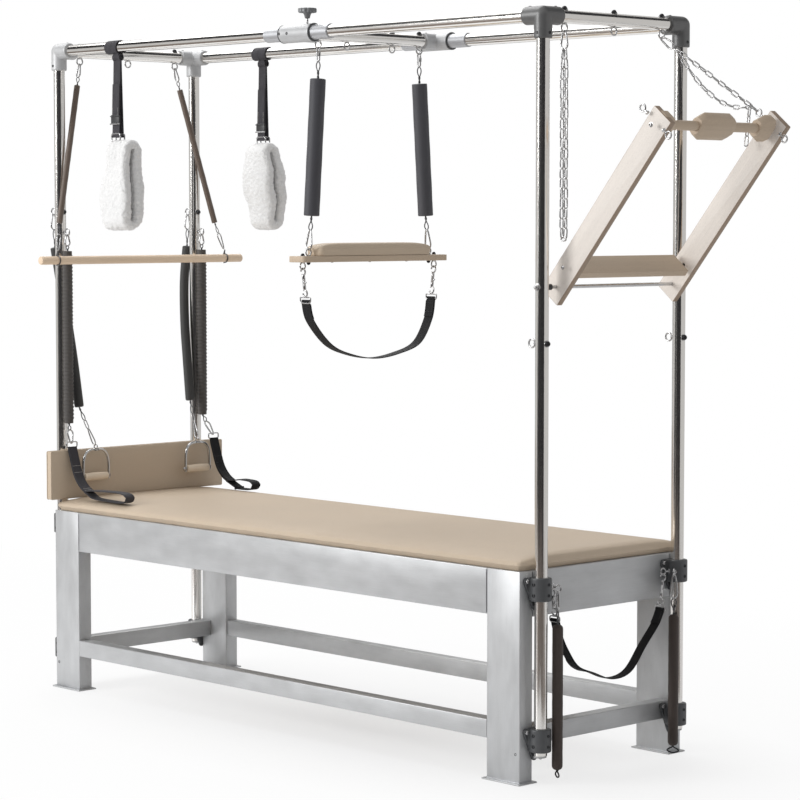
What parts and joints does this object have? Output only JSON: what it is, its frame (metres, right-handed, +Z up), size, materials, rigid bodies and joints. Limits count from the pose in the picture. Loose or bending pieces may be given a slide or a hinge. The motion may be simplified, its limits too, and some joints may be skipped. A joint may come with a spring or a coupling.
{
  "type": "pilates trapeze table",
  "caption": "Pilates trapeze table: padded bench under a tube tower with sliding crossbar, trapeze and sling, push-through bar, roll-down bar, springs, handles, foot loops and fleece loops.",
  "frame": {"origin": "middle of the footprint of the whole table, on the floor", "axes": "+X along the table from the headboard end to the push-through bar end, +Y from the front side to the rear side, +Z up"},
  "size_m": [2.7544, 0.88, 2.248],
  "materials": {
    "aluminium": "brushed, clear anodised",
    "stainless": "polished tube",
    "casting": "cast, grey",
    "clamp": "cast, dark grey",
    "vinyl": "matt upholstery vinyl",
    "beech": "clear lacquer",
    "zinc": "zinc plated",
    "webbing": "woven",
    "spring_black": "ribbed and smooth spring covers",
    "spring_brown": "spring covers",
    "foam": "closed-cell foam sleeve",
    "fleece": "fleece"
  },
  "bodies": {
    "table": {"end_frame_left": "aluminium", "end_frame_right": "aluminium", "apron_front": "aluminium", "apron_rear": "aluminium", "lower_rail_front": "aluminium", "lower_rail_rear": "aluminium", "mattress": "vinyl", "headboard": "vinyl", "upright_front_left": "stainless", "upright_front_right": "stainless", "upright_rear_left": "stainless", "upright_rear_right": "stainless", "corner_front_left": "casting", "corner_front_right": "casting", "corner_rear_left": "casting", "corner_rear_right": "casting", "top_rail_front": "stainless", "top_rail_rear": "stainless", "cross_tube_left": "stainless", "cross_tube_right": "stainless", "clamp_upper_front_left": "clamp", "clamp_upper_front_right": "clamp", "clamp_upper_rear_left": "clamp", "clamp_upper_rear_right": "clamp", "clamp_lower_front_left": "clamp", "clamp_lower_front_right": "clamp", "clamp_lower_rear_left": "clamp", "clamp_lower_rear_right": "clamp", "push_bar_rod": "zinc", "chain_front": "zinc", "chain_rear": "zinc", "spare_spring_front": "spring_brown", "spare_spring_rear": "spring_brown", "safety_strap": "webbing"},
    "crossbar": {"sliding_crossbar": "stainless", "slider_tee_front": "casting", "slider_tee_rear": "casting"},
    "knob": {"lock_knob": "casting"},
    "trapeze": {"trapeze_spring_front": "foam", "trapeze_spring_rear": "foam", "trapeze_board": "beech", "trapeze_cushion": "vinyl"},
    "sling": {"trapeze_sling": "webbing"},
    "push_bar": {"push_bar_arm_front": "beech", "push_bar_arm_rear": "beech", "push_bar_board": "beech", "push_bar_handle": "beech"},
    "roll_down": {"roll_down_bar": "beech", "roll_down_spring_front": "spring_brown", "roll_down_spring_rear": "spring_brown"},
    "arm_front": {"arm_spring_front": "spring_black", "handle_bow_front": "zinc"},
    "arm_rear": {"arm_spring_rear": "spring_black", "handle_bow_rear": "zinc"},
    "grip_front": {"handle_grip_front": "beech"},
    "grip_rear": {"handle_grip_rear": "beech"},
    "leg_front": {"leg_spring_front": "spring_black"},
    "leg_rear": {"leg_spring_rear": "spring_black"},
    "fleece_front": {"fleece_loop_front": "fleece"},
    "fleece_rear": {"fleece_loop_rear": "fleece"}
  },
  "joints": [
    {"name": "crossbar_slide", "type": "slide", "parent": "table", "child": "crossbar", "axis": [1, 0, 0], "range_m": [-0.38, 0.38]},
    {"name": "knob_turn", "type": "hinge", "parent": "crossbar", "child": "knob", "pos_m": [-0.04732, -0.303, 2.21], "axis": [0, 0, 1], "continuous": true},
    {"name": "trapeze_swing", "type": "hinge", "parent": "crossbar", "child": "trapeze", "pos_m": [-0.08532, -0.008, 2.13175], "axis": [0, 1, 0], "range_deg": [-30, 30]},
    {"name": "sling_swing", "type": "hinge", "parent": "trapeze", "child": "sling", "pos_m": [-0.08532, -0.008, 1.44875], "axis": [0, 1, 0], "range_deg": [-35, 35]},
    {"name": "push_bar_swing", "type": "hinge", "parent": "table", "child": "push_bar", "pos_m": [0.94268, -0.008, 1.414], "axis": [0, 1, 0], "range_deg": [-33, 0], "deforming": ["chain_rear"]},
    {"name": "roll_down_swing", "type": "hinge", "parent": "table", "child": "roll_down", "pos_m": [-1.32232, -0.008, 2.13175], "axis": [0, -1, 0], "range_deg": [0, 12]},
    {"name": "arm_spring_front_swing", "type": "hinge", "parent": "table", "child": "arm_front", "pos_m": [-1.36107, -0.303, 1.6175], "axis": [1, 0, 0], "range_deg": [0, 9]},
    {"name": "arm_spring_rear_swing", "type": "hinge", "parent": "table", "child": "arm_rear", "pos_m": [-1.36107, 0.287, 1.6175], "axis": [-1, 0, 0], "range_deg": [0, 9]},
    {"name": "grip_front_turn", "type": "hinge", "parent": "arm_front", "child": "grip_front", "pos_m": [-1.24432, -0.219, 0.72], "axis": [0, 1, 0], "continuous": true},
    {"name": "grip_rear_turn", "type": "hinge", "parent": "arm_rear", "child": "grip_rear", "pos_m": [-1.23732, 0.225, 0.72], "axis": [0, 1, 0], "continuous": true},
    {"name": "leg_spring_front_swing", "type": "hinge", "parent": "table", "child": "leg_front", "pos_m": [-1.28357, -0.303, 1.5475], "axis": [-1, 0, 0], "range_deg": [0, 20]},
    {"name": "leg_spring_rear_swing", "type": "hinge", "parent": "table", "child": "leg_rear", "pos_m": [-1.28357, 0.287, 1.5475], "axis": [1, 0, 0], "range_deg": [0, 20]},
    {"name": "fleece_front_swing", "type": "hinge", "parent": "table", "child": "fleece_front", "pos_m": [-0.996, -0.303, 2.173], "axis": [1, 0, 0], "range_deg": [-40, 15]},
    {"name": "fleece_rear_swing", "type": "hinge", "parent": "table", "child": "fleece_rear", "pos_m": [-0.944, 0.287, 2.173], "axis": [1, 0, 0], "range_deg": [-15, 40]}
  ]
}
